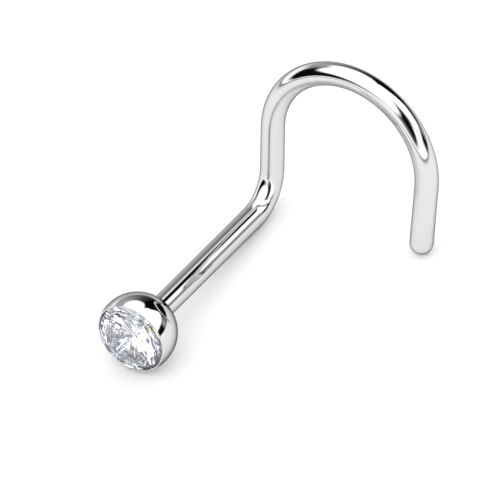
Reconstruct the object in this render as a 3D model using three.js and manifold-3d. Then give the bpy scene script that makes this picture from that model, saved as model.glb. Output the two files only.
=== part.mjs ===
// Nose stud with a screw-shaped wire. A half-ball cup holds a round brilliant-cut stone. A straight
// post leaves the back of the cup, bends up into a short neck and curls over in a half-circle hook
// that ends in a straight tail with a rounded tip. The cup is soldered to the wire, so the metal is
// one solid. All sizes are in millimetres and all angles in degrees.
//
// The stud is drawn with the ball's centre at the origin, the post along +Y, the neck rising in +Z
// and the hook turning towards +X. It is then tipped onto the three points that it lies on: the
// ball, the outside of the bend and the tip of the tail.
import * as THREE from 'three';
import { ConvexGeometry } from 'three/addons/geometries/ConvexGeometry.js';
import { mergeVertices } from 'three/addons/utils/BufferGeometryUtils.js';
import Module from 'manifold-3d';

// Wire
const wireDiameter = 0.8;
const postLength = 6.87; // back of the ball to the corner of the bend
const bendRadius = 1.3; // of the wire's centre line
const bendAngle = 84.5;
const neckLength = 1.6; // straight wire between the bend and the hook
const hookRadius = 2.98; // of the wire's centre line
const hookTurn = 184;
const tailLength = 2.2; // straight wire behind the hook, to the centre of the rounded tip

// Stone
const stoneDiameter = 2.38;
const tableDiameter = 1.68; // across the corners of the table
const crownAngle = 33.9;
const pavilionAngle = 40.75;
const girdleThickness = 0.04;
const starLength = 0.46; // share of the crown's width that the star facets take
const lowerHalfLength = 0.77; // share of the pavilion's width that the lower halves take
const mainFacets = 8;
const stoneTurn = 9; // of the main facets about the post's axis

// Cup
const rimWall = 0.042; // thin edge of metal round the stone
const rimAboveGirdle = 0.07;
const faceFromCentre = 0.42; // the cup is a ball cut flat this far in front of its centre
const stoneClearance = 0.03;
const solderFillet = 0.12;
const solderStep = 0.03; // how far the solder stands out round the wire

// Fineness of the round forms
const wireSides = 24;
const wireStep = 0.32;
const tipRings = 12;
const cupSides = 48;
const cupArcSteps = 16;

const wireRadius = wireDiameter / 2;
const stoneRadius = stoneDiameter / 2;
const boreRadius = stoneRadius + stoneClearance;
const rimRadius = boreRadius + rimWall;
const ballRadius = Math.hypot(rimRadius, faceFromCentre);
const radians = THREE.MathUtils.degToRad;

// Places along the post's axis, from the cup's face to the solid metal behind the stone
const faceY = -faceFromCentre;
const girdleFrontY = faceY + rimAboveGirdle;
const girdleBackY = girdleFrontY + girdleThickness;
const seatY = girdleBackY + stoneClearance;
const seatPointY = seatY + boreRadius * Math.tan(radians(pavilionAngle));
const wireStartY = (seatPointY + ballRadius) / 2;

// A circular arc in space, which leaves start along heading and turns towards inward.
class ArcCurve extends THREE.Curve {
  constructor(start, heading, inward, radius, angle) {
    super();
    Object.assign(this, { start, heading, inward, radius, angle });
  }

  getPoint(t, target = new THREE.Vector3()) {
    const turned = t * this.angle;
    return target
      .copy(this.start)
      .addScaledVector(this.heading, this.radius * Math.sin(turned))
      .addScaledVector(this.inward, this.radius * (1 - Math.cos(turned)));
  }

  endHeading() {
    return this.heading
      .clone()
      .multiplyScalar(Math.cos(this.angle))
      .addScaledVector(this.inward, Math.sin(this.angle));
  }
}

function straightFrom(start, heading, length) {
  return new THREE.LineCurve3(start, start.clone().addScaledVector(heading, length));
}

// The wire's centre line, stretch by stretch: post, bend, neck, hook and tail.
function wireStretches() {
  const alongPost = new THREE.Vector3(0, 1, 0);
  const up = new THREE.Vector3(0, 0, 1);
  const sideways = new THREE.Vector3(1, 0, 0);
  const start = new THREE.Vector3(0, wireStartY, 0);
  const cornerY = ballRadius + postLength;
  const bendStartY = cornerY - bendRadius * Math.tan(radians(bendAngle) / 2);

  const post = straightFrom(start, alongPost, bendStartY - wireStartY);
  const bend = new ArcCurve(post.v2, alongPost, up, bendRadius, radians(bendAngle));
  const rising = bend.endHeading();
  const neck = straightFrom(bend.getPoint(1), rising, neckLength);
  const hook = new ArcCurve(neck.v2, rising, sideways, hookRadius, radians(hookTurn));
  const tail = straightFrom(hook.getPoint(1), hook.endHeading(), tailLength);
  return { post, bend, neck, hook, tail };
}

// A closed three.js geometry as a solid that can be joined to another.
function solidFrom(wasm, geometry) {
  const shell = geometry.clone();
  shell.deleteAttribute('normal');
  shell.deleteAttribute('uv');
  const merged = mergeVertices(shell);
  return new wasm.Manifold(new wasm.Mesh({
    numProp: 3,
    vertProperties: new Float32Array(merged.attributes.position.array),
    triVerts: new Uint32Array(merged.index.array),
  }));
}

function geometryFrom(solid) {
  const mesh = solid.getMesh();
  const geometry = new THREE.BufferGeometry();
  geometry.setAttribute('position', new THREE.BufferAttribute(mesh.vertProperties, mesh.numProp));
  geometry.setIndex(new THREE.BufferAttribute(mesh.triVerts, 1));
  geometry.computeVertexNormals();
  return geometry;
}

// Round wire along the centre line, and the ball that rounds its tip. The ball's equator has the
// same corners as the wire's last section, so that the two join in one clean edge.
function wireGeometries(stretches) {
  const path = new THREE.CurvePath();
  Object.values(stretches).forEach((stretch) => path.add(stretch));
  const steps = Math.round(path.getLength() / wireStep);
  const section = new THREE.Shape().absarc(0, 0, wireRadius, 0, 2 * Math.PI, false);
  const rod = new THREE.ExtrudeGeometry(section, {
    steps,
    curveSegments: wireSides / 2, // a round outline gets twice this many sides
    extrudePath: path,
  });

  const frames = path.computeFrenetFrames(steps, false);
  const across = frames.normals[steps];
  const ahead = frames.tangents[steps];
  const tip = new THREE.SphereGeometry(wireRadius, wireSides, tipRings);
  const place = new THREE.Matrix4().makeBasis(across, ahead, across.clone().cross(ahead));
  tip.applyMatrix4(place.setPosition(stretches.tail.v2));
  return [rod, tip];
}

// The cup, turned about the post's axis. The outline runs from the point of the seat along the
// stone's pavilion and bore to the rim, over the ball and down the solder fillet to the wire.
function cupGeometry() {
  const collarRadius = wireRadius + solderStep;
  const filletX = collarRadius + solderFillet;
  const filletY = Math.sqrt((ballRadius + solderFillet) ** 2 - filletX ** 2);
  const filletAngle = Math.atan2(filletY, filletX);
  const rimAngle = Math.atan2(faceY, rimRadius);

  const outline = new THREE.Path();
  outline.moveTo(0, seatPointY);
  outline.lineTo(boreRadius, seatY);
  outline.lineTo(boreRadius, faceY);
  outline.lineTo(rimRadius, faceY);
  outline.absarc(0, 0, ballRadius, rimAngle, filletAngle, false);
  outline.absarc(filletX, filletY, solderFillet, filletAngle + Math.PI, Math.PI, true);
  outline.lineTo(0, filletY);
  const halfSteps = cupArcSteps / 2; // a round outline gets twice this many sides
  return new THREE.LatheGeometry(outline.getPoints(halfSteps), cupSides);
}

// Corners of one ring of the stone, evenly spaced about the post's axis.
function stoneRing(count, radius, y, firstAngle) {
  return Array.from({ length: count }, (_, k) => {
    const angle = radians(stoneTurn) + firstAngle + (k / count) * 2 * Math.PI;
    return new THREE.Vector3(radius * Math.cos(angle), y, radius * Math.sin(angle));
  });
}

// Round brilliant with its table towards -Y. The corners between two main facets lie on the planes
// of both, so each kite-shaped main facet is flat.
function stoneGeometry() {
  const halfStep = Math.PI / mainFacets;
  const tableRadius = tableDiameter / 2;
  const crownSlope = Math.tan(radians(crownAngle));
  const pavilionSlope = Math.tan(radians(pavilionAngle));
  const starRadius = THREE.MathUtils.lerp(tableRadius, stoneRadius, starLength);
  const lowerRadius = stoneRadius * (1 - lowerHalfLength);
  const tableY = girdleFrontY - (stoneRadius - tableRadius) * crownSlope;
  const starY = girdleFrontY - (stoneRadius - starRadius * Math.cos(halfStep)) * crownSlope;
  const lowerY = girdleBackY + (stoneRadius - lowerRadius * Math.cos(halfStep)) * pavilionSlope;
  const culetY = girdleBackY + stoneRadius * pavilionSlope;
  return new ConvexGeometry([
    ...stoneRing(mainFacets, tableRadius, tableY, 0),
    ...stoneRing(mainFacets, starRadius, starY, halfStep),
    ...stoneRing(2 * mainFacets, stoneRadius, girdleFrontY, 0),
    ...stoneRing(2 * mainFacets, stoneRadius, girdleBackY, 0),
    ...stoneRing(mainFacets, lowerRadius, lowerY, halfStep),
    new THREE.Vector3(0, culetY, 0),
  ]);
}

// Upward direction of the surface that the stud lies on, in the stud's own axes. The surface
// touches the ball, the lowest point of the bend and the round tip, so the centres of the last
// two lie the same depth below the ball's centre. The bend's lowest point depends on the tilt,
// and the tilt on that point, so they are worked out in turns until they agree.
function restingUp({ bend, tail }) {
  const depth = ballRadius - wireRadius;
  const rounds = 20;
  let up = new THREE.Vector3(0, 0, 1);
  for (let round = 0; round < rounds; round += 1) {
    const lowestTurn = THREE.MathUtils.clamp(Math.atan2(-up.y, up.z), 0, bend.angle);
    const bendPoint = bend.getPoint(lowestTurn / bend.angle);
    const tipPoint = tail.v2;
    const normal = tipPoint.clone().cross(bendPoint);
    const between = tipPoint.clone().sub(bendPoint);
    // Nearest point to the ball's centre on the line through the two supports
    const foot = bendPoint.clone().addScaledVector(between, -bendPoint.dot(between) / between.lengthSq());
    // The surface's normal leans from the foot's direction so that both supports lie at that depth
    const towardsFoot = foot.clone().normalize();
    const lean = depth / foot.length();
    const square = normal.normalize().multiplyScalar(Math.sqrt(1 - lean * lean));
    up = towardsFoot.multiplyScalar(-lean).add(square);
  }
  return up;
}

// Turn that lays the stud on a level surface, with the post's heading along +Y.
function restingTurn(stretches) {
  const up = restingUp(stretches);
  const forward = new THREE.Vector3(0, 1, 0).projectOnPlane(up).normalize();
  const right = forward.clone().cross(up);
  const axes = new THREE.Matrix4().makeBasis(right, forward, up);
  return new THREE.Quaternion().setFromRotationMatrix(axes.transpose());
}

const wasm = await Module();
wasm.setup();

const stretches = wireStretches();
const metal = [cupGeometry(), ...wireGeometries(stretches)]
  .map((geometry) => solidFrom(wasm, geometry))
  .reduce((joined, solid) => joined.add(solid));

const cupAndWire = new THREE.Mesh(
  geometryFrom(metal),
  new THREE.MeshStandardMaterial({ color: 0xdfe0e2, roughness: 0.06, metalness: 1 }),
);
cupAndWire.name = 'cup_and_wire';

const stone = new THREE.Mesh(
  stoneGeometry(),
  new THREE.MeshStandardMaterial({ color: 0xf4f7fb, roughness: 0.02, metalness: 0 }),
);
stone.name = 'stone';

const stud = new THREE.Group();
stud.add(cupAndWire, stone);
stud.quaternion.copy(restingTurn(stretches));

// The origin is the middle of the stud's box, on the surface that it lies on.
const noseStud = new THREE.Group();
noseStud.name = 'nose_stud';
noseStud.add(stud);
const box = new THREE.Box3().setFromObject(noseStud, true);
const middle = box.getCenter(new THREE.Vector3());
stud.position.set(-middle.x, -middle.y, -box.min.z);

export default noseStud;
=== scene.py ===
"""Nose stud with a screw-shaped wire, dressed for a studio picture.

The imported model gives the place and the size. The metal is one turned blank, from the stone's seat
over the cup and along the wire to the rounded tip, that Geometry Nodes bend in two places as a
jeweller bends the straight wire round two pins. The stone is a round blank with its facets ground
off one by one.
"""

import math

import bmesh
import bpy
from bpy.props import FloatProperty, FloatVectorProperty, IntProperty, PointerProperty
from mathutils import Matrix, Vector


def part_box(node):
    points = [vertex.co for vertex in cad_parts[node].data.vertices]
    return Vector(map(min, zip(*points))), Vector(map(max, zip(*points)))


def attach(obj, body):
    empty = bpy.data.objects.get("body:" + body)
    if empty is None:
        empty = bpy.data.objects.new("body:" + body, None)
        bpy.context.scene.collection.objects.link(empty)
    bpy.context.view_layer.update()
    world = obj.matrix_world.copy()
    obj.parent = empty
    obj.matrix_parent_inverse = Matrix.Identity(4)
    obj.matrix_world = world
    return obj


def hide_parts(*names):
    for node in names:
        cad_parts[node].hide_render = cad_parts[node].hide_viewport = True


bl_info = {
    "name": "Nose Stud",
    "version": (1, 0, 0),
    "blender": (4, 5, 0),
    "location": "View3D > Sidebar > Nose Stud",
    "description": "Makes a nose stud with a faceted stone, and its studio",
    "category": "Object",
}

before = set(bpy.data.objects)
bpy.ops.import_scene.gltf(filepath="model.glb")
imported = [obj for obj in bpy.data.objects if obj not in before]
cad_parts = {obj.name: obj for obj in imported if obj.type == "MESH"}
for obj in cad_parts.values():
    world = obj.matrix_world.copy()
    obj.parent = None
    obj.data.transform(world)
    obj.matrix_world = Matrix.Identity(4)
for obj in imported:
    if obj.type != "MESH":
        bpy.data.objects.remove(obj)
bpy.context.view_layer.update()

MM = 0.001
BODY = "root"
ALONG = "along"  # attribute: a point's distance along the straight blank
# Painted dark reflections: how dark the cloth is that only the metal and the stone mirror.
REFLECTED_DARK = "reflected_dark"  # attribute: how much of the light behind it the cotton covers

# The stud's own axes: the ball's centre at the origin, the post along +Y, the neck rising in +Z and
# the hook turning towards +X.
X_AXIS = Vector((1, 0, 0))
Y_AXIS = Vector((0, 1, 0))
Z_AXIS = Vector((0, 0, 1))


def colour(hex_value):
    """An sRGB hex colour as linear red, green and blue."""
    channels = [int(hex_value[k:k + 2], 16) / 255 for k in (1, 3, 5)]
    return tuple(c / 12.92 if c <= 0.04045 else ((c + 0.055) / 1.055) ** 2.4 for c in channels)


def length(name, description, millimetres):
    return FloatProperty(
        name=name, description=description, default=millimetres * MM, min=0.0,
        subtype="DISTANCE", unit="LENGTH", precision=5,
    )


def angle(name, description, degrees):
    return FloatProperty(
        name=name, description=description, default=math.radians(degrees),
        subtype="ANGLE", unit="ROTATION",
    )


def paint(name, description, hex_value):
    return FloatVectorProperty(
        name=name, description=description, default=colour(hex_value), size=3,
        min=0.0, max=1.0, subtype="COLOR",
    )


class WireSettings(bpy.types.PropertyGroup):
    """Sizes of the wire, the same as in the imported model."""

    diameter: length("Diameter", "Thickness of the wire, 20 gauge", 0.8)
    post_length: length("Post Length", "From the back of the ball to the corner of the bend", 6.87)
    bend_radius: length("Bend Radius", "Radius of the bend's centre line", 1.3)
    bend_angle: angle("Bend Angle", "How far the neck is bent up from the post", 84.5)
    neck_length: length("Neck Length", "Straight wire between the bend and the hook", 1.6)
    hook_radius: length("Hook Radius", "Radius of the hook's centre line", 2.98)
    hook_turn: angle("Hook Turn", "How far the hook turns", 184)
    tail_length: length("Tail Length", "Straight wire behind the hook, to the tip's centre", 2.2)


class CupSettings(bpy.types.PropertyGroup):
    """Sizes of the half-ball cup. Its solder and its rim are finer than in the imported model."""

    rim_wall: length("Rim Wall", "Thin edge of metal round the stone", 0.042)
    rim_above_girdle: length("Rim Above Girdle", "How deep the girdle sits below the rim", 0.07)
    face_from_centre: length("Face From Centre", "From the ball's centre to its cut face", 0.42)
    stone_clearance: length("Stone Clearance", "Gap all round the stone", 0.03)
    solder_fillet: length("Solder Fillet", "Radius of the solder between ball and wire", 0.05)
    rim_rounding: length("Rim Rounding", "Radius that polishing leaves on the rim", 0.012)


class StoneSettings(bpy.types.PropertyGroup):
    """Sizes and cut of the round brilliant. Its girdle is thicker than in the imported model."""

    diameter: length("Diameter", "Across the girdle", 2.38)
    table_diameter: length("Table Diameter", "Across the corners of the table", 1.68)
    crown_angle: angle("Crown Angle", "Slope of the crown's main facets", 33.9)
    pavilion_angle: angle("Pavilion Angle", "Slope of the pavilion's main facets", 40.75)
    girdle_thickness: length("Girdle Thickness", "At the thick places of the girdle", 0.055)
    turn: angle("Turn", "Turn of the main facets about the post's axis", 9)
    star_share: FloatProperty(
        name="Star Share", description="Share of the crown's width that the star facets take",
        default=0.46, min=0.1, max=0.9, subtype="FACTOR",
    )
    lower_half_share: FloatProperty(
        name="Lower Half Share", description="Share of the pavilion that the lower halves take",
        default=0.77, min=0.1, max=0.95, subtype="FACTOR",
    )
    main_facets: IntProperty(
        name="Main Facets", description="Main facets on the crown", default=8, min=6, max=12,
    )


class FinishSettings(bpy.types.PropertyGroup):
    """Colours of the two materials."""

    steel: paint("Steel", "Colour of the polished steel", "#D7D7D8")
    steel_edge: paint("Steel Edge", "Colour of the steel at a glancing angle", "#77777A")
    stone: paint("Stone", "Body colour of the clear stone", "#FFFFFF")
    stone_veil: paint("Stone Veil", "Faint tint that the clear stone has in places", "#F2F6FF")


class StageSettings(bpy.types.PropertyGroup):
    """Floor, light and camera."""

    floor: paint("Floor", "Colour of the floor", "#E9E9E9")
    # Painted shade: the grey that the floor's colour turns to far out, where its light is no less.
    far_shade: paint("Bench", "Colour of the bench that the floor turns to, far out", "#8C8C8E")
    dome_strength: FloatProperty(
        name="Dome Strength", description="Brightness of the white dome", default=1.5, min=0.0,
    )
    # Painted light: the stone alone sees the dome this much brighter.
    stone_light: FloatProperty(
        name="Stone Light", description="How much brighter the stone sees the dome", default=2.3,
        min=0.0,
    )
    azimuth: angle("Azimuth", "Camera's direction round the stud", 39.22)
    elevation: angle("Elevation", "Camera's height above the horizon", 42.36)
    roll: angle("Roll", "How far the camera leans to the right", 10.96)
    picture_width: length("Picture Width", "Width of what the camera sees", 16.34)
    aim_right: length("Aim Right", "How far right of the ball's middle the camera aims", 3.681)
    aim_up: length("Aim Up", "How far above the ball's middle it aims", 2.677)


def add_node(tree, kind, inputs=None, **settings):
    """Adds a node. An input's value is a plain value, or a socket that is linked to it."""
    node = tree.nodes.new(kind)
    for name, value in settings.items():
        setattr(node, name, value)
    for key, value in (inputs or {}).items():
        if isinstance(value, bpy.types.NodeSocket):
            tree.links.new(value, node.inputs[key])
        else:
            node.inputs[key].default_value = value
    return node


def new_material(name):
    material = bpy.data.materials.new(name)
    material.use_nodes = True
    material.node_tree.nodes.clear()
    return material, material.node_tree


def polished_surgical_steel(finish):
    """Surgical steel, drawn to wire, soldered and mirror polished on a felt wheel.

    The eye sees a bright, nearly white mirror. Its reflections waver a little, because the wheel
    takes off slightly more in one place than in another, and faint lines from the wheel run across.
    At a glancing angle it is darker here than real steel, so that its outline shows on pale card.
    """
    wave_size = 1.1 * MM
    wave_height = 0.9e-6
    line_size = 0.05 * MM  # real polishing lines are finer, but wouldn't show
    material, tree = new_material("polished_surgical_steel")
    place = add_node(tree, "ShaderNodeTexCoord").outputs["Object"]
    waves = add_node(tree, "ShaderNodeTexNoise", {
        "Vector": place, "Scale": 1 / wave_size, "Detail": 1.0, "Roughness": 0.4,
    })
    bump = add_node(tree, "ShaderNodeBump", {
        "Height": waves.outputs["Fac"], "Strength": 1.0, "Distance": wave_height,
    })
    lines = add_node(tree, "ShaderNodeTexNoise", {
        "Vector": place, "Scale": 1 / line_size, "Detail": 2.0,
    })
    roughness = add_node(tree, "ShaderNodeMapRange", {
        "Value": lines.outputs["Fac"], "To Min": 0.025, "To Max": 0.075,
    })
    steel = add_node(tree, "ShaderNodeBsdfPrincipled", {
        "Base Color": (*finish.steel, 1.0), "Metallic": 1.0,
        "Roughness": roughness.outputs["Result"], "Normal": bump.outputs["Normal"],
        "Specular Tint": (*finish.steel_edge, 1.0),
    })
    add_node(tree, "ShaderNodeOutputMaterial", {"Surface": steel.outputs["BSDF"]})
    return material


def cut_cubic_zirconia(finish):
    """Cubic zirconia, cut and polished.

    The eye sees hard white flashes, because the stone bends light nearly as strongly as diamond does.
    The little colour in them is painted light: the dome is tinted for light through the stone only.
    Its own colour is white, faintly blue in places.
    """
    veil_size = 0.7 * MM
    material, tree = new_material("cut_cubic_zirconia")
    place = add_node(tree, "ShaderNodeTexCoord").outputs["Object"]
    veil = add_node(tree, "ShaderNodeTexNoise", {
        "Vector": place, "Scale": 1 / veil_size, "Detail": 1.0,
    })
    body = add_node(tree, "ShaderNodeMix", {
        "Factor": veil.outputs["Fac"], "A": (*finish.stone, 1.0), "B": (*finish.stone_veil, 1.0),
    }, data_type="RGBA")
    stone = add_node(tree, "ShaderNodeBsdfPrincipled", {
        "Base Color": body.outputs["Result"], "Metallic": 0.0, "Roughness": 0.0, "IOR": 2.15,
        "Transmission Weight": 1.0,
    })
    add_node(tree, "ShaderNodeOutputMaterial", {"Surface": stone.outputs["BSDF"]})
    return material


def matt_white_card(stage):
    """Matt white card, pressed from wood pulp.

    The eye sees an even white with no shine. Well outside the picture it turns to grey: painted shade,
    so that the metal mirrors a darker ring far out.
    """
    pulp_size = 0.4 * MM
    pulp_height = 0.002 * MM
    shade_begins_at = 30 * MM
    shade_full_at = 90 * MM
    material, tree = new_material("matt_white_card")
    place = add_node(tree, "ShaderNodeTexCoord").outputs["Object"]
    pulp = add_node(tree, "ShaderNodeTexNoise", {"Vector": place, "Scale": 1 / pulp_size})
    bump = add_node(tree, "ShaderNodeBump", {
        "Height": pulp.outputs["Fac"], "Strength": 0.2, "Distance": pulp_height,
    })
    # Painted shade: the colour turns from the floor's white to the far grey with distance from the
    # card's middle.
    out = add_node(tree, "ShaderNodeVectorMath", {"Vector": place}, operation="LENGTH")
    outside = add_node(tree, "ShaderNodeMapRange", {
        "Value": out.outputs["Value"], "From Min": shade_begins_at, "From Max": shade_full_at,
    })
    shade = add_node(tree, "ShaderNodeMix", {
        "Factor": outside.outputs["Result"], "A": (*stage.floor, 1.0), "B": (*stage.far_shade, 1.0),
    }, data_type="RGBA")
    card = add_node(tree, "ShaderNodeBsdfPrincipled", {
        "Base Color": shade.outputs["Result"], "Roughness": 1.0, "Specular IOR Level": 0.0,
        "Normal": bump.outputs["Normal"],
    })
    add_node(tree, "ShaderNodeOutputMaterial", {"Surface": card.outputs["BSDF"]})
    return material


def reflected_dark_cloth():
    """Thick black cotton, thinner towards its edges, seen only as painted dark reflections. It sends
    back next to no light.
    """
    thread_size = 1.5 * MM
    thread_height = 0.1 * MM
    material, tree = new_material("reflected_dark_cloth")
    clear = add_node(tree, "ShaderNodeBsdfTransparent")
    place = add_node(tree, "ShaderNodeTexCoord").outputs["Object"]
    weave = add_node(tree, "ShaderNodeTexNoise", {"Vector": place, "Scale": 1 / thread_size})
    bump = add_node(tree, "ShaderNodeBump", {
        "Height": weave.outputs["Fac"], "Distance": thread_height,
    })
    cotton = add_node(tree, "ShaderNodeBsdfPrincipled", {
        "Base Color": (*colour("#050505"), 1.0), "Roughness": 1.0, "Specular IOR Level": 0.0,
        "Normal": bump.outputs["Normal"],
    })
    thick = add_node(tree, "ShaderNodeAttribute", attribute_name=REFLECTED_DARK)
    mixed = add_node(tree, "ShaderNodeMixShader", {
        0: thick.outputs["Fac"], 1: clear.outputs["BSDF"], 2: cotton.outputs["BSDF"],
    })
    add_node(tree, "ShaderNodeOutputMaterial", {"Surface": mixed.outputs["Shader"]})
    return material


def outline_arc(centre_along, centre_radius, radius, first, last, steps):
    """Points of an arc in an outline, as distances along the axis and out from it.

    An angle of nothing points straight out from the axis, and a quarter turn points along it.
    """
    turns = [first + (last - first) * k / steps for k in range(steps + 1)]
    return [
        (centre_along + radius * math.sin(turn), centre_radius + radius * math.cos(turn))
        for turn in turns
    ]


class Measures:
    """Sizes that follow from the settings, in metres from the ball's centre along the wire."""

    def __init__(self, scene):
        wire, cup, stone = scene.stud_wire, scene.stud_cup, scene.stud_stone
        self.wire_radius = wire.diameter / 2
        self.stone_radius = stone.diameter / 2
        self.bore_radius = self.stone_radius + cup.stone_clearance
        rim_radius = self.bore_radius + cup.rim_wall
        self.ball_radius = math.hypot(rim_radius, cup.face_from_centre)

        self.face = -cup.face_from_centre
        self.girdle_front = self.face + cup.rim_above_girdle
        self.girdle_back = self.girdle_front + stone.girdle_thickness
        self.seat = self.girdle_back + cup.stone_clearance
        self.seat_point = self.seat + self.bore_radius * math.tan(stone.pavilion_angle)

        corner = self.ball_radius + wire.post_length
        self.bend_start = corner - wire.bend_radius * math.tan(wire.bend_angle / 2)
        bend_end = self.bend_start + wire.bend_radius * wire.bend_angle
        self.hook_start = bend_end + wire.neck_length
        self.tip_centre = self.hook_start + wire.hook_radius * wire.hook_turn + wire.tail_length


def blank_outline(measures, cup):
    """The metal blank's outline, from the point of the seat over the rim and ball to the tip."""
    ring_step = 0.07 * MM
    quarter = math.pi / 2
    rounding = cup.rim_rounding
    lip_centre = measures.face + rounding
    outer_lip = math.sqrt((measures.ball_radius - rounding) ** 2 - lip_centre ** 2)
    ball_first = math.atan2(lip_centre, outer_lip)
    fillet_radius = measures.wire_radius + cup.solder_fillet
    fillet_along = math.sqrt((measures.ball_radius + cup.solder_fillet) ** 2 - fillet_radius ** 2)
    ball_last = math.atan2(fillet_along, fillet_radius)
    wire_steps = round((measures.tip_centre - fillet_along) / ring_step)

    seat_steps = 8
    outline = [
        (
            measures.seat_point + (measures.seat - measures.seat_point) * k / seat_steps,
            measures.bore_radius * k / seat_steps,
        )
        for k in range(seat_steps)
    ]
    outline.append((measures.seat, measures.bore_radius))
    inner_lip = measures.bore_radius + rounding
    outline += outline_arc(lip_centre, inner_lip, rounding, 2 * quarter, 3 * quarter, 4)
    outline += outline_arc(lip_centre, outer_lip, rounding, -quarter, ball_first, 4)
    outline += outline_arc(0.0, 0.0, measures.ball_radius, ball_first, ball_last, 48)[1:]
    outline += outline_arc(
        fillet_along, fillet_radius, cup.solder_fillet, ball_last + math.pi, math.pi, 8
    )[1:]
    outline += [
        (fillet_along + (measures.tip_centre - fillet_along) * k / wire_steps, measures.wire_radius)
        for k in range(1, wire_steps)
    ]
    outline += outline_arc(measures.tip_centre, 0.0, measures.wire_radius, 0.0, quarter, 12)
    return outline


def turned_mesh(name, outline, sides):
    """A closed mesh turned about the Y axis from an outline that starts and ends on the axis."""
    shape = bmesh.new()
    turns = [2 * math.pi * k / sides for k in range(sides)]
    first = shape.verts.new((0.0, outline[0][0], 0.0))
    last = shape.verts.new((0.0, outline[-1][0], 0.0))
    rings = [
        [shape.verts.new((radius * math.cos(t), along, radius * math.sin(t))) for t in turns]
        for along, radius in outline[1:-1]
    ]
    for k in range(sides):
        after = (k + 1) % sides
        shape.faces.new((first, rings[0][k], rings[0][after]))
        shape.faces.new((last, rings[-1][after], rings[-1][k]))
        for near, far in zip(rings, rings[1:]):
            shape.faces.new((near[k], far[k], far[after], near[after]))
    bmesh.ops.recalc_face_normals(shape, faces=shape.faces)
    mesh = bpy.data.meshes.new(name)
    shape.to_mesh(mesh)
    shape.free()
    return mesh


def bend_round_pin(tree, geometry, start, radius, turn, axis, towards):
    """Adds the nodes that bend the blank round one pin, from a distance along it.

    A point within the bend rolls onto the pin, and all that lies past the bend turns with its end.
    """
    def calculate(operation, first, second=0.0):
        settings = {0: first} if operation in {"SINE", "COSINE"} else {0: first, 1: second}
        return add_node(tree, "ShaderNodeMath", settings, operation=operation).outputs[0]

    def scaled(direction, factor):
        return add_node(
            tree, "ShaderNodeVectorMath", {"Vector": direction, "Scale": factor}, operation="SCALE"
        ).outputs["Vector"]

    def combined(operation, first, second):
        return add_node(
            tree, "ShaderNodeVectorMath", {0: first, 1: second}, operation=operation
        ).outputs["Vector"]

    along = add_node(tree, "GeometryNodeInputNamedAttribute", {"Name": ALONG}).outputs["Attribute"]
    rolled = calculate("DIVIDE", calculate("SUBTRACT", along, start), radius)
    rolled = calculate("MINIMUM", calculate("MAXIMUM", rolled, 0.0), turn)
    taken_up = calculate("MULTIPLY", rolled, radius)
    place = add_node(tree, "GeometryNodeInputPosition").outputs["Position"]
    laid_back = combined("SUBTRACT", place, scaled(Y_AXIS, calculate("ADD", start, taken_up)))
    turned = add_node(
        tree, "ShaderNodeVectorRotate", {"Vector": laid_back, "Axis": axis, "Angle": rolled},
        rotation_type="AXIS_ANGLE",
    ).outputs["Vector"]
    ahead = calculate("ADD", start, calculate("MULTIPLY", radius, calculate("SINE", rolled)))
    aside = calculate("SUBTRACT", radius, calculate("MULTIPLY", radius, calculate("COSINE", rolled)))
    pin_place = combined("ADD", scaled(Y_AXIS, ahead), scaled(towards, aside))
    moved = add_node(tree, "GeometryNodeSetPosition", {
        "Geometry": geometry, "Position": combined("ADD", turned, pin_place),
    })
    return moved.outputs["Geometry"]


def wire_bending_tree():
    """Geometry Nodes that bend a straight blank into the nose screw: first the hook, then the neck."""
    tree = bpy.data.node_groups.new("wire_bending", "GeometryNodeTree")
    names = {"Geometry": "NodeSocketGeometry"}
    for pin in ("Hook", "Neck"):
        names.update({
            f"{pin} Start": "NodeSocketFloat", f"{pin} Radius": "NodeSocketFloat",
            f"{pin} Turn": "NodeSocketFloat",
        })
    names["Material"] = "NodeSocketMaterial"
    for name, kind in names.items():
        tree.interface.new_socket(name, in_out="INPUT", socket_type=kind)
    tree.interface.new_socket("Geometry", in_out="OUTPUT", socket_type="NodeSocketGeometry")

    given = add_node(tree, "NodeGroupInput").outputs
    place = add_node(tree, "GeometryNodeInputPosition").outputs["Position"]
    distance = add_node(tree, "ShaderNodeSeparateXYZ", {"Vector": place}).outputs["Y"]
    marked = add_node(tree, "GeometryNodeStoreNamedAttribute", {
        "Geometry": given["Geometry"], "Name": ALONG, "Value": distance,
    })
    hooked = bend_round_pin(
        tree, marked.outputs["Geometry"], given["Hook Start"], given["Hook Radius"],
        given["Hook Turn"], -Z_AXIS, X_AXIS,
    )
    bent = bend_round_pin(
        tree, hooked, given["Neck Start"], given["Neck Radius"], given["Neck Turn"], X_AXIS, Z_AXIS,
    )
    smooth = add_node(tree, "GeometryNodeSetShadeSmooth", {"Geometry": bent})
    real = add_node(tree, "GeometryNodeRealizeInstances", {
        "Geometry": smooth.outputs["Geometry"],
    })
    finished = add_node(tree, "GeometryNodeSetMaterial", {
        "Geometry": real.outputs["Geometry"], "Material": given["Material"],
    })
    add_node(tree, "NodeGroupOutput", {"Geometry": finished.outputs["Geometry"]})
    return tree


def shape_with_nodes(obj, tree, values):
    """Runs a Geometry Nodes tree on an object and keeps the result as its plain mesh."""
    modifier = obj.modifiers.new(tree.name, "NODES")
    modifier.node_group = tree
    for socket in tree.interface.items_tree:
        if socket.in_out == "INPUT" and socket.name in values:
            modifier[socket.identifier] = values[socket.name]
    shaped = obj.evaluated_get(bpy.context.evaluated_depsgraph_get())
    mesh = bpy.data.meshes.new_from_object(shaped)
    obj.modifiers.clear()
    obj.data = mesh


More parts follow.
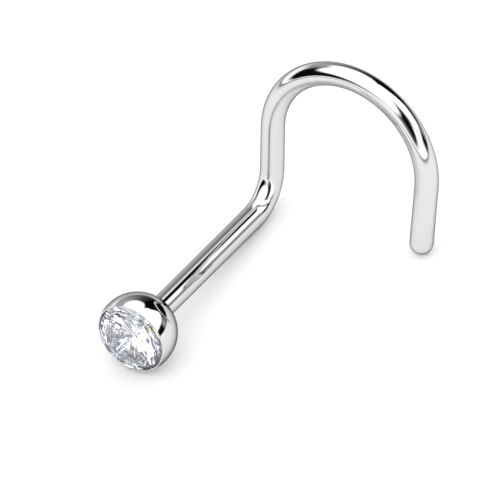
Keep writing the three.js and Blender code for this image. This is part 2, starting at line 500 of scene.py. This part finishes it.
def resting_turn(measures, wire):
    """Turn that lays the stud on a level surface, on its ball, its bend and its tip.

    The three centres that carry it lie the wire's and the ball's radius above the surface. The
    bend's lowest point depends on the tilt, and the tilt on that point, so they are worked out in
    turns until they agree.
    """
    def in_the_bend(turn):
        return Vector((
            0.0,
            measures.bend_start + wire.bend_radius * math.sin(turn),
            wire.bend_radius * (1 - math.cos(turn)),
        ))

    rising = Vector((0.0, math.cos(wire.bend_angle), math.sin(wire.bend_angle)))
    falling = rising * math.cos(wire.hook_turn) + X_AXIS * math.sin(wire.hook_turn)
    hook_end = (
        in_the_bend(wire.bend_angle) + rising * wire.neck_length
        + rising * wire.hook_radius * math.sin(wire.hook_turn)
        + X_AXIS * wire.hook_radius * (1 - math.cos(wire.hook_turn))
    )
    tip = hook_end + falling * wire.tail_length
    depth = measures.ball_radius - measures.wire_radius
    up = Z_AXIS.copy()
    for _ in range(20):
        lowest_turn = min(max(math.atan2(-up.y, up.z), 0.0), wire.bend_angle)
        bend = in_the_bend(lowest_turn)
        edge = tip - bend
        foot = bend - edge * (bend.dot(edge) / edge.length_squared)
        lean = depth / foot.length
        square = tip.cross(bend).normalized() * math.sqrt(1 - lean * lean)
        up = square - foot.normalized() * lean
    forward = (Y_AXIS - up * up.y).normalized()
    return Matrix((forward.cross(up), forward, up)).to_4x4()


def corners(mesh):
    points = [vertex.co for vertex in mesh.vertices]
    low = Vector([min(point[k] for point in points) for k in range(3)])
    high = Vector([max(point[k] for point in points) for k in range(3)])
    return low, high


def must_match(obj, node):
    """Stops the script where a piece isn't in the place of the solid that it stands for."""
    allowed = 0.05 * MM
    for made, packed in zip(corners(obj.data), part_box(node)):
        if (made - packed).length > allowed:
            raise RuntimeError(f"{obj.name} is {(made - packed).length / MM:.3f} mm off {node}")


def stand_for(obj, node):
    """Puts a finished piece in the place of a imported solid."""
    must_match(obj, node)
    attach(obj, BODY)
    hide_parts(node)


def facet_plane(first, second, third):
    """The plane through three points of a stone that is centred on the Y axis, facing outwards."""
    normal = (second - first).cross(third - first).normalized()
    middle = (first + second + third) / 3
    return middle, normal if normal.dot(middle) > 0 else -normal


def stone_planes(measures, stone):
    """All facets of a round brilliant with its table towards -Y, as planes about its girdle."""
    count = stone.main_facets
    half_step = math.pi / count
    outer = measures.stone_radius
    table = stone.table_diameter / 2
    crown_slope = math.tan(stone.crown_angle)
    pavilion_slope = math.tan(stone.pavilion_angle)
    star = table + (outer - table) * stone.star_share
    lower = outer * (1 - stone.lower_half_share)

    def corner(radius, along, step):
        turn = stone.turn + step * half_step
        return Vector((radius * math.cos(turn), along, radius * math.sin(turn)))

    table_along = measures.girdle_front - (outer - table) * crown_slope
    star_along = measures.girdle_front - (outer - star * math.cos(half_step)) * crown_slope
    lower_along = measures.girdle_back + (outer - lower * math.cos(half_step)) * pavilion_slope
    culet = Vector((0.0, measures.girdle_back + outer * pavilion_slope, 0.0))

    planes = [(Vector((0.0, table_along, 0.0)), -Y_AXIS)]
    for main in range(0, 2 * count, 2):
        star_tip = corner(star, star_along, main + 1)
        lower_tip = corner(lower, lower_along, main + 1)
        planes.append(facet_plane(
            corner(table, table_along, main), star_tip, corner(star, star_along, main - 1)
        ))
        planes.append(facet_plane(
            corner(table, table_along, main), corner(table, table_along, main + 2), star_tip
        ))
        planes.append(facet_plane(culet, lower_tip, corner(lower, lower_along, main - 1)))
        for side in (main, main + 2):
            planes.append(facet_plane(
                star_tip, corner(outer, measures.girdle_front, side),
                corner(outer, measures.girdle_front, main + 1),
            ))
            planes.append(facet_plane(
                lower_tip, corner(outer, measures.girdle_back, side),
                corner(outer, measures.girdle_back, main + 1),
            ))
    return planes


def cut_stone_mesh(name, measures, stone):
    """Grinds the facets off a round blank one by one, which leaves the girdle scalloped."""
    girdle_sides = 96
    shape = bmesh.new()
    depth = 2 * measures.stone_radius
    bmesh.ops.create_cone(
        shape, cap_ends=True, segments=girdle_sides, radius1=measures.stone_radius,
        radius2=measures.stone_radius, depth=2 * depth,
        matrix=Matrix.Rotation(math.pi / 2, 4, "X"),
    )
    middle = Vector((0.0, (measures.girdle_front + measures.girdle_back) / 2, 0.0))
    shift = Matrix.Translation(middle)
    bmesh.ops.transform(shape, matrix=shift, verts=shape.verts)
    for place, normal in stone_planes(measures, stone):
        everything = [*shape.verts, *shape.edges, *shape.faces]
        cut = bmesh.ops.bisect_plane(
            shape, geom=everything, dist=1e-9, plane_co=place, plane_no=normal, clear_outer=True
        )
        edges = [item for item in cut["geom_cut"] if isinstance(item, bmesh.types.BMEdge)]
        if edges:
            bmesh.ops.edgeloop_fill(shape, edges=edges)
    bmesh.ops.remove_doubles(shape, verts=shape.verts, dist=1e-8)
    bmesh.ops.recalc_face_normals(shape, faces=shape.faces)
    mesh = bpy.data.meshes.new(name)
    shape.to_mesh(mesh)
    shape.free()
    return mesh


def new_object(name, mesh):
    obj = bpy.data.objects.new(name, mesh)
    bpy.context.scene.collection.objects.link(obj)
    return obj


class STUD_OT_metal(bpy.types.Operator):
    """Make the cup and the wire as one turned and bent piece of polished steel"""

    bl_idname = "stud.metal"
    bl_label = "Cup and Wire"

    def execute(self, context):
        scene = context.scene
        wire = scene.stud_wire
        measures = Measures(scene)
        mesh = turned_mesh("stud_metal", blank_outline(measures, scene.stud_cup), sides=96)
        metal = new_object("stud_metal", mesh)
        shape_with_nodes(metal, wire_bending_tree(), {
            "Hook Start": measures.hook_start,
            "Hook Radius": wire.hook_radius,
            "Hook Turn": wire.hook_turn,
            "Neck Start": measures.bend_start,
            "Neck Radius": wire.bend_radius,
            "Neck Turn": wire.bend_angle,
            "Material": polished_surgical_steel(scene.stud_finish),
        })
        metal.data.set_sharp_from_angle(angle=math.radians(50))
        metal.data.transform(place_in_frame(metal.data, measures, wire))
        stand_for(metal, "cup_and_wire")
        return {"FINISHED"}


def place_in_frame(metal_mesh, measures, wire):
    """Where the stud's own axes lie in the frame: it rests on the surface, over the solid's middle."""
    turn = resting_turn(measures, wire)
    metal_mesh.transform(turn)
    low, high = corners(metal_mesh)
    metal_mesh.transform(turn.inverted())
    packed_low, packed_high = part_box("cup_and_wire")
    shift = (packed_low + packed_high - low - high) / 2
    shift.z = packed_low.z - low.z
    place = Matrix.Translation(shift) @ turn
    bpy.context.scene["stud_place"] = [value for row in place for value in row]
    return place


def stud_place(scene):
    """The place that the metal was given, as a matrix from the stud's own axes to the frame."""
    values = list(scene["stud_place"])
    return Matrix([values[k:k + 4] for k in range(0, 16, 4)])


def between(rows, step):
    """Rows of numbers, filled in between so that the first number of each rises by about a step."""
    filled = [rows[0]]
    for row, following in zip(rows, rows[1:]):
        count = max(round((following[0] - row[0]) / step), 1)
        for k in range(1, count + 1):
            filled.append(tuple(a + (b - a) * k / count for a, b in zip(row, following)))
    return filled


def direction(azimuth, height):
    """Direction in the frame at an azimuth from +Y towards +X and a height, both in degrees."""
    azimuth, height = math.radians(azimuth), math.radians(height)
    level = math.cos(height)
    return Vector((math.sin(azimuth) * level, math.cos(azimuth) * level, math.sin(height)))


def camera_frame(stage):
    """The camera's right, up and back as the columns of a matrix."""
    azimuth, elevation = stage.azimuth, stage.elevation
    back = Vector((
        math.sin(azimuth) * math.cos(elevation), -math.cos(azimuth) * math.cos(elevation),
        math.sin(elevation),
    ))
    return (-back).to_track_quat("-Z", "Y").to_matrix() @ Matrix.Rotation(-stage.roll, 3, "Z")


class STUD_OT_stone(bpy.types.Operator):
    """Make the faceted stone in its cup"""

    bl_idname = "stud.stone"
    bl_label = "Stone"

    def execute(self, context):
        scene = context.scene
        mesh = cut_stone_mesh("cut_stone", Measures(scene), scene.stud_stone)
        mesh.transform(stud_place(scene))
        mesh.materials.append(cut_cubic_zirconia(scene.stud_finish))
        stone = new_object("cut_stone", mesh)
        stand_for(stone, "stone")
        return {"FINISHED"}


# Painted colour in the light that only the stone sees, for the colour in its flashes: place on the
# ramp and colour.
PAINTED_FLASH_TINTS = (
    (0.30, "#B8CCFF"), (0.40, "#D9D2FF"), (0.47, "#FFFFFF"), (0.55, "#DDF6F6"), (0.63, "#FFE4DE"),
    (0.70, "#F0F49A"),
)

# The dark of the room between the floor's far grey and the soft lights, painted as black cloth that
# only the metal and the stone mirror. It follows the dark streaks on the metal in the photo. A row has
# an azimuth, then the heights where the dark begins, is darkest from and to, and ends, in degrees, and
# how dark it is.
ROOM_SHADE = (
    (-180, 14, 19, 26, 32, 0.12), (-165, 10, 16, 24, 30, 0.6), (-150, 4, 8, 24, 30, 1.0),
    (-130, 0, 4, 27, 33, 1.0), (-110, 4, 10, 31, 37, 1.0), (-95, 10, 20, 36, 42, 1.0),
    (-80, 18, 28, 42, 50, 0.8), (-65, 8, 20, 38, 46, 0.65), (-50, 0, 12, 33, 37, 0.65),
    (-35, -2, 10, 34, 37, 0.8), (-20, -3, 6, 36, 39, 0.95), (-6, -3, 2, 40, 44, 1.0),
    (2, -3, 1, 46, 52, 1.0), (8, -3, 0, 52, 58, 1.0), (14, -3, 0, 46, 50, 1.0),
    (22, -3, 0, 40, 44, 1.0), (27, -3, 0, 19, 23, 1.0), (36, -3, 0, 17, 20, 0.9),
    (44, -3, 0, 16, 19, 0.75), (52, -3, 0, 15, 18, 0.75), (60, -3, 0, 15, 18, 1.0),
    (80, -3, 0, 13, 16, 1.0), (92, -3, 0, 10, 15, 0.5), (97, 32, 42, 58, 66, 0.8),
    (115, 26, 34, 53, 60, 1.0), (130, 16, 22, 44, 51, 1.0), (145, 7, 13, 36, 42, 1.0),
    (160, 2, 8, 28, 34, 0.9), (172, 2, 10, 22, 28, 0.5), (180, 14, 19, 26, 32, 0.12),
)


class STUD_OT_stage(bpy.types.Operator):
    """Make the floor, the soft light, the painted dark reflections and the camera"""

    bl_idname = "stud.stage"
    bl_label = "Stage"

    def execute(self, context):
        stage = context.scene.stud_stage
        self.make_floor(stage)
        self.make_dome(stage)
        self.make_reflected_dark()
        self.make_camera(stage)
        context.scene.view_settings.view_transform = "Standard"
        bounces = 40  # light bounces many times inside the stone and its seat
        cycles = context.scene.cycles
        cycles.max_bounces = bounces
        cycles.glossy_bounces = bounces
        cycles.transmission_bounces = bounces
        return {"FINISHED"}

    def make_floor(self, stage):
        reach = 400 * MM
        shape = bmesh.new()
        bmesh.ops.create_grid(shape, x_segments=8, y_segments=8, size=reach)
        mesh = bpy.data.meshes.new("floor")
        shape.to_mesh(mesh)
        shape.free()
        mesh.materials.append(matt_white_card(stage))
        new_object("floor", mesh)

    def make_dome(self, stage):
        """A white dome. Light through the stone sees it brighter and tinted: painted light for the
        stone's flashes.
        """
        world = bpy.data.worlds.new("white_dome")
        world.use_nodes = True
        tree = world.node_tree
        tree.nodes.clear()
        white = add_node(tree, "ShaderNodeBackground", {
            "Color": (1.0, 1.0, 1.0, 1.0), "Strength": stage.dome_strength,
        })
        heading = add_node(tree, "ShaderNodeTexCoord").outputs["Object"]
        patches = add_node(tree, "ShaderNodeTexNoise", {
            "Vector": heading, "Scale": 2.6, "Detail": 1.0,
        })
        tints = add_node(tree, "ShaderNodeValToRGB", {"Fac": patches.outputs["Fac"]})
        ramp = tints.color_ramp.elements
        ramp[0].position = PAINTED_FLASH_TINTS[0][0]
        ramp[1].position = PAINTED_FLASH_TINTS[-1][0]
        for place, _ in PAINTED_FLASH_TINTS[1:-1]:
            ramp.new(place)
        for stop, (_, tint) in zip(ramp, PAINTED_FLASH_TINTS):
            stop.color = (*colour(tint), 1.0)
        # Painted light: the brighter, tinted dome that only light through the stone sees.
        tinted = add_node(tree, "ShaderNodeBackground", {
            "Color": tints.outputs["Color"], "Strength": stage.dome_strength * stage.stone_light,
        })
        through = add_node(tree, "ShaderNodeLightPath").outputs["Is Transmission Ray"]
        both = add_node(tree, "ShaderNodeMixShader", {
            0: through, 1: white.outputs["Background"], 2: tinted.outputs["Background"],
        })
        add_node(tree, "ShaderNodeOutputWorld", {"Surface": both.outputs["Shader"]})
        bpy.context.scene.world = world

    def make_reflected_dark(self):
        """Hangs black cotton far out between the lights as painted dark reflections: only the metal
        and the stone mirror it.
        """
        far = 300 * MM
        shape = bmesh.new()
        thick = shape.verts.layers.float.new(REFLECTED_DARK)
        columns = []
        # Each column of cloth is as thick as its row's darkness: how dark the painted reflection is
        # there.
        for azimuth, begin, first, last, end, darkness in between(ROOM_SHADE, step=2.0):
            column = []
            for height, reflected_dark in ((begin, 0), (first, darkness), (last, darkness), (end, 0)):
                vertex = shape.verts.new(direction(azimuth, height) * far)
                vertex[thick] = reflected_dark
                column.append(vertex)
            columns.append(column)
        for near, after in zip(columns, columns[1:]):
            for k in range(3):
                shape.faces.new((near[k], near[k + 1], after[k + 1], after[k]))
        mesh = bpy.data.meshes.new("reflected_dark_sheet")
        shape.to_mesh(mesh)
        shape.free()
        mesh.materials.append(reflected_dark_cloth())
        reflected_dark_sheet = new_object("reflected_dark_sheet", mesh)
        # The camera, diffuse light and shadows don't see the cloth: it paints dark reflections only.
        reflected_dark_sheet.visible_camera = False
        reflected_dark_sheet.visible_diffuse = False
        reflected_dark_sheet.visible_shadow = False

    def make_camera(self, stage):
        distance = 60 * MM
        turn = camera_frame(stage)
        right, upward, back = turn.col
        aim = stud_place(bpy.context.scene).translation
        aim += right * stage.aim_right + upward * stage.aim_up
        data = bpy.data.cameras.new("camera")
        data.type = "ORTHO"
        data.ortho_scale = stage.picture_width
        data.clip_start = 1 * MM
        data.clip_end = 1000 * MM
        camera = bpy.data.objects.new("camera", data)
        camera.matrix_world = Matrix.Translation(aim + back * distance) @ turn.to_4x4()
        bpy.context.scene.collection.objects.link(camera)
        bpy.context.scene.camera = camera


class STUD_PT_panel(bpy.types.Panel):
    """Lists the stud's pieces and their sizes."""

    bl_idname = "STUD_PT_panel"
    bl_label = "Nose Stud"
    bl_space_type = "VIEW_3D"
    bl_region_type = "UI"
    bl_category = "Nose Stud"

    def draw(self, context):
        layout = self.layout
        for name in SETTINGS:
            group = getattr(context.scene, name)
            box = layout.box()
            for setting in group.__annotations__:
                box.prop(group, setting)
        for operator in OPERATORS:
            layout.operator(operator.bl_idname)


SETTINGS = {
    "stud_wire": WireSettings,
    "stud_cup": CupSettings,
    "stud_stone": StoneSettings,
    "stud_finish": FinishSettings,
    "stud_stage": StageSettings,
}
OPERATORS = (STUD_OT_metal, STUD_OT_stone, STUD_OT_stage)


def register():
    for cls in (*SETTINGS.values(), *OPERATORS, STUD_PT_panel):
        bpy.utils.register_class(cls)
    for name, group in SETTINGS.items():
        setattr(bpy.types.Scene, name, PointerProperty(type=group))


def unregister():
    for name in SETTINGS:
        delattr(bpy.types.Scene, name)
    for cls in reversed((*SETTINGS.values(), *OPERATORS, STUD_PT_panel)):
        bpy.utils.unregister_class(cls)


def main():
    register()
    bpy.ops.stud.metal()
    bpy.ops.stud.stone()
    bpy.ops.stud.stage()
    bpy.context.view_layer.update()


if __name__ == "__main__":
    main()
